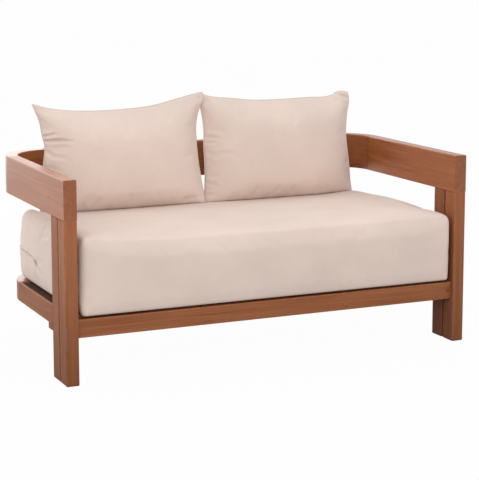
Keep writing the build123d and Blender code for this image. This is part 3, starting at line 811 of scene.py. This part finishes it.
def make_zip(piece, material):
    places, outward = zip_path(piece)
    level = np.cross(outward, np.gradient(places, axis=0))
    level /= np.linalg.norm(level, axis=1)[:, None]
    # how far aside and proud of the cover each part runs, its radius and how flat it is
    parts = [("coil", 0.0, 0.0003, 0.0012, 0.9, coil()),
             ("lip_upper", 0.0026, 0.0002, 0.0017, 0.75, material),
             ("lip_lower", -0.0026, 0.0002, 0.0017, 0.75, material)]
    for name, aside, proud, thick, flat, finish in parts:
        tube = ring_tube(f"bench_zip_{name}", places + level * aside + outward * proud, finish,
                         thick, flat=flat, out=outward)
        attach(tube, "seat_cushion")
    # slider and pull tab at the left end
    at, out = Vector(places[4]), Vector(outward[4])
    way = Vector(places[8] - places[4]).normalized()
    turn = Matrix((way, out.cross(way), out)).transposed().to_4x4()
    stand = Matrix.Translation(at) @ turn
    runner_finish = slider_paint()
    faces = [[0, 1, 3, 2], [4, 6, 7, 5], [0, 4, 5, 1], [2, 3, 7, 6], [0, 2, 6, 4], [1, 5, 7, 3]]
    runners = [("slider", (0.009, 0.007, 0.004), 0, 0.0022),
               ("pull", (0.022, 0.0055, 0.0014), -0.012, 0.0030)]
    for name, (long, wide, tall), ahead, above in runners:
        points = [stand @ Vector((long * i / 2 + ahead, wide * j / 2, tall * k / 2 + above))
                  for i in (-1, 1) for j in (-1, 1) for k in (-1, 1)]
        runner = mesh_object(f"bench_zip_{name}", points, faces, runner_finish)
        round_edges(runner, 0.0005)
        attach(runner, "seat_cushion")


def make_bench(material):
    points, faces, unit = bench_cushion()
    piece = mesh_object("bench_cushion_cover", points, faces, material)
    u, v, w = unit.T
    # the foot and the rim of the top stay put, the underside keeps its place too
    rim = 0.999
    foot = w < -0.9
    seam = (w > rim) & ((np.abs(u) > rim) | (np.abs(v) > rim))
    pins = np.where(foot | seam, 1.0, 0.0)
    cap = np.where(np.abs(w) < rim, 0.0035, 0.006)
    cap = np.where(w < -rim, 0.0, cap)
    swell(piece, pins, cap, pressure=1.5, growth=0.004)
    subdivide(piece)
    points = coordinates(piece.data)
    x, y, _ = points.T
    end = np.clip((-x - 0.62) / 0.06, 0, 1) * np.clip((y + 0.30) / 0.05, 0, 1)
    end *= np.clip((0.30 - y) / 0.08, 0, 1)
    points[:, 0] += end * press(points[:, 1:3], bench_end_creases)
    front = np.clip((-0.335 - y) / 0.03, 0, 1)
    points[:, 1] += front * press(points[:, [0, 2]], bench_front_creases)
    set_coordinates(piece, points)
    make_zip(piece, material)
    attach(piece, "seat_cushion")
    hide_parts("seat_cushion")
    return piece


# Back cushions: the sewn outline of each, in millimetres across and up the lean
pillow_outlines = {
    "left": {
        "foot": [(-642, 2), (-560, 0), (-380, -1), (-180, 0), (-60, 0), (-4, 1)],
        "head": [(-650, 380), (-600, 365), (-539, 354), (-444, 347), (-324, 347), (-201, 355.5),
                 (-86, 379.5), (-34, 391.5), (4, 398)],
        "near": [(-642, 2), (-630, 60), (-620, 160), (-612, 236), (-618, 262), (-626, 315),
                 (-650, 380)],
        "far": [(-4, 1), (-9, 50), (-15, 90), (-24, 170), (-26, 225), (-24, 286), (-7, 344),
                (10, 378), (4, 398)],
    },
    "right": {
        "foot": [(-5, 1), (60, 0), (220, -1), (420, 0), (560, 0), (622, 2)],
        "head": [(-8, 398), (46, 380), (112, 372), (225, 360), (339, 359), (446, 361.5),
                 (545, 365.5), (582, 380), (621, 376)],
        "near": [(-5, 1), (3, 60), (7, 130), (6, 199), (9, 260), (1, 342), (-8, 398)],
        "far": [(622, 2), (616, 50), (614, 103), (606, 218), (614, 293), (625, 350), (621, 376)],
    },
}
# Creases of each back cushion, in millimetres across and up the lean, with depth and width
pillow_creases = {
    "left": [([(-640, 258), (-612, 262), (-576, 270)], 11, 5.5),
             ([(-612, 246), (-560, 244), (-520, 239)], 8, 6.5),
             ([(-606, 206), (-590, 190), (-550, 182)], 5, 7),
             ([(-95, 6), (-50, 10), (-8, 16)], 3, 7),
             ([(-652, 374), (-600, 352), (-545, 330)], 3, 11),
             ([(-8, 384), (-50, 368), (-110, 345)], 2.5, 12),
             ([(-500, 2), (-460, 40), (-440, 90)], 2.5, 14)],
    "right": [([(2, 229), (30, 228), (54, 223)], 7, 6),
              ([(10, 211), (48, 208)], 4, 6),
              ([(18, 170), (110, 157)], 2.5, 9),
              ([(-2, 57), (42, 54)], 5, 7),
              ([(-2, 16), (32, 10)], 4, 6),
              ([(560, 388), (570, 368), (596, 357), (628, 350)], 7, 6),
              ([(-2, 386), (40, 366), (100, 345)], 2.5, 12),
              ([(616, 20), (590, 40), (560, 46)], 3, 9)],
}
lean = math.radians(6.3)
pillow_foot = Vector((0, 0.206, 0.4795))
pillow_across, pillow_up = 84, 52
# half depth at the sewn edge, and how much the middle adds
pillow_edge, pillow_swell = 0.003, 0.076
ear_twist = 0.012
seam_radius = 0.0016
rim_pull = 0.022


def pillow_plan(outline):
    # A smooth net of points stretched between the four sewn edges.
    foot, head = (through(outline[edge], pillow_across + 1) for edge in ("foot", "head"))
    near, far = (through(outline[edge], pillow_up + 1) for edge in ("near", "far"))
    u = np.linspace(0, 1, pillow_across + 1)[:, None, None]
    v = np.linspace(0, 1, pillow_up + 1)[None, :, None]
    net = (1 - v) * foot[:, None] + v * head[:, None] + (1 - u) * near[None] + u * far[None]
    net -= ((1 - u) * (1 - v) * foot[0] + u * (1 - v) * foot[-1] + (1 - u) * v * head[0]
            + u * v * head[-1])
    net /= 1000
    # the foot follows the pressed top of the bench cushion
    drop = (seat_crown(net[:, :1, 0], pillow_foot.y) - seat_top) / math.cos(lean)
    net[:, :, 1] += (drop - 0.007) * np.clip(1 - net[:, :, 1] / 0.16, 0, 1)
    return net


def make_pillow(side, material, bench):
    plan = pillow_plan(pillow_outlines[side])
    u = np.linspace(-1, 1, pillow_across + 1)[:, None]
    v = np.linspace(-1, 1, pillow_up + 1)[None, :]
    sag = v + 0.10 * (1 - v * v)
    full = (1 - np.abs(u) ** 2.6) ** 0.62
    full = full * (1 - np.abs(sag) ** 2.5) ** np.where(v < 0, 0.6 + 0.17 * v, 0.6)
    depth = pillow_edge + pillow_swell * full
    # the meeting ears of the two cushions pass one in front of the other
    meeting, forward = (u, -1) if side == "left" else (-u, 1)
    twist = (forward * ear_twist * smooth_step(meeting, 0.75, 1)
             * (0.35 + 0.65 * np.abs(v) ** 3))
    points, index, seams = [], {}, []
    for face in (-1, 1):
        for i in range(pillow_across + 1):
            for j in range(pillow_up + 1):
                rim = i in (0, pillow_across) or j in (0, pillow_up)
                if face == 1 and rim:
                    index[face, i, j] = index[-1, i, j]
                    continue
                across, up = plan[i, j]
                out = (0 if rim else face * depth[i, j]) + twist[i, j]
                index[face, i, j] = len(points)
                points.append((across, pillow_foot.y + up * math.sin(lean) + out * math.cos(lean),
                               pillow_foot.z + up * math.cos(lean) - out * math.sin(lean)))
                seams.append(1.0 if rim else 0.0)
    faces = []
    for i in range(pillow_across):
        for j in range(pillow_up):
            corners = [(i, j), (i + 1, j), (i + 1, j + 1), (i, j + 1)]
            faces.append([index[-1, a, b] for a, b in corners])
            faces.append([index[1, a, b] for a, b in corners[:1] + corners[:0:-1]])
    piece = mesh_object(f"{side}_back_cushion_cover", points, faces, material)
    swell(piece, seams, 0.012, pressure=4.0, growth=0.015)
    order = edge_order(index)
    rim = coordinates(piece.data)[order]
    subdivide(piece)
    restore_rim(piece, order, rim)
    crease(piece, side)
    settle(piece, bench)
    seam = ring_tube(f"{side}_back_cushion_seam", rim, material, seam_radius, closed=True)
    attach(seam, f"{side}_back_cushion")
    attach(piece, f"{side}_back_cushion")
    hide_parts(f"{side}_back_cushion")


def edge_order(index):
    # Vertex numbers once round the sewn edge.
    a, b = pillow_across, pillow_up
    loop = [(i, 0) for i in range(a)] + [(a, j) for j in range(b)]
    loop += [(i, b) for i in range(a, 0, -1)] + [(0, j) for j in range(b, 0, -1)]
    return [index[-1, i, j] for i, j in loop]


def restore_rim(piece, order, rim):
    # Subdivision draws the sewn edge in; this puts it back and takes the cloth next to it along.
    points = coordinates(piece.data)
    shift = rim - points[order]
    tree = KDTree(len(order))
    for number, vertex in enumerate(order):
        tree.insert(points[vertex], number)
    tree.balance()
    for number, point in enumerate(points):
        _, nearest, away = tree.find(point)
        if away < rim_pull:
            points[number] = point + shift[nearest] * (1 - away / rim_pull)
    set_coordinates(piece, points)


def crease(piece, side):
    # Presses the creases into the front of a back cushion, never through to its middle.
    points = coordinates(piece.data)
    offset = points - np.array(pillow_foot)
    out = offset[:, 1] * math.cos(lean) - offset[:, 2] * math.sin(lean)
    up = offset[:, 1] * math.sin(lean) + offset[:, 2] * math.cos(lean)
    amount = press(np.stack((points[:, 0], up), 1), pillow_creases[side])
    amount = np.where(out < 0, np.minimum(amount, np.maximum(-out * 0.7, 0)), 0)
    points[:, 1] += amount * math.cos(lean)
    points[:, 2] -= amount * math.sin(lean)
    set_coordinates(piece, points)


def settle(piece, bench):
    # The back cushion lies flat where it rests on the bench cushion.
    points = coordinates(piece.data)
    for number in np.flatnonzero(points[:, 2] < seat_top + 0.02):
        x, y, z = points[number]
        hit = bench.ray_cast(Vector((x, y, 0.7)), Vector((0, 0, -1)))[0]
        if hit is not None:
            points[number, 2] = max(z, hit.z + cloth_gap)
    set_coordinates(piece, points)


# Floor, light and world: floor and world look white, whatever light they give the object
floor_half = 80
floor_drop = 0.0004
floor_glow = 0.975
world_light = 1.1


def studio():
    material, tree, shader = new_material("studio_floor")
    seen = put(tree, "LightPath")
    place = object_place(tree)
    # the floor close by keeps its own grey in the sheen of the timber
    distance = put(tree, "VectorMath", {0: place}, operation="LENGTH").outputs["Value"]
    shiny = maths(tree, "MULTIPLY", seen.outputs["Is Glossy Ray"], remap(tree, distance, 1.6, 4.8))
    pale = maths(tree, "MAXIMUM", seen.outputs["Is Camera Ray"], shiny)
    pale = maths(tree, "MAXIMUM", pale, seen.outputs["Is Transmission Ray"])
    colour = two_tones(tree, noise(tree, place, 3.0), (0.43, 0.43, 0.43, 1), (0.47, 0.47, 0.47, 1))
    feed(tree, shader, {"Base Color": colour, "Roughness": 0.9, "Specular IOR Level": 0.0})
    glow = put(tree, "Emission", {"Color": (1, 1, 1, 1), "Strength": 1.0})
    both = put(tree, "MixShader", {0: maths(tree, "MULTIPLY", pale, floor_glow),
                                   1: shader.outputs[0], 2: glow.outputs[0]})
    output = next(node for node in tree.nodes if node.type == "OUTPUT_MATERIAL")
    tree.links.new(both.outputs[0], output.inputs["Surface"])
    corners = [(i * floor_half, j * floor_half, -floor_drop)
               for i, j in ((-1, -1), (1, -1), (1, 1), (-1, 1))]
    floor = mesh_object("floor", corners, [[0, 1, 2, 3]], material)

    world = bpy.data.worlds.new("studio")
    world.use_nodes = True
    tree = world.node_tree
    tree.nodes.clear()
    seen = put(tree, "LightPath")
    pale = maths(tree, "MAXIMUM", seen.outputs["Is Camera Ray"], seen.outputs["Is Glossy Ray"])
    pale = maths(tree, "MAXIMUM", pale, seen.outputs["Is Transmission Ray"])
    light = put(tree, "Background", {"Color": (1.0, 1.0, 1.0, 1),
                                     "Strength": remap(tree, pale, 0, 1, world_light, 1.0)})
    output = put(tree, "OutputWorld")
    tree.links.new(light.outputs[0], output.inputs[0])
    scene.world = world


def softbox(name, place, aim, size, power):
    data = bpy.data.lights.new(name, "AREA")
    data.shape = "RECTANGLE"
    data.size, data.size_y = size
    data.energy = power
    lamp = bpy.data.objects.new(name, data)
    lamp.location = place
    lamp.visible_camera = False
    lamp.rotation_euler = (Vector(aim) - Vector(place)).to_track_quat("-Z", "Y").to_euler()
    scene.collection.objects.link(lamp)


def light_object():
    softbox("front", (-1.6, -4.2, 2.6), (0, 0, 0.4), (3.2, 2.6), 46)
    softbox("left", (-3.6, 1.6, 1.3), (-0.75, 0.1, 0.6), (1.6, 1.6), 10)
    softbox("rear", (-0.9, 3.6, 1.40), (-0.7, 0.1, 0.6), (4.4, 2.5), 60)


place_camera()
studio()
light_object()
finish_timbers()
finish_fixings()
fabric = cloth()
bench_cover = make_bench(fabric)
bench_surface = surface_of(bench_cover)
for back_side in ("left", "right"):
    make_pillow(back_side, fabric, bench_surface)

scene.view_settings.view_transform = "Standard"
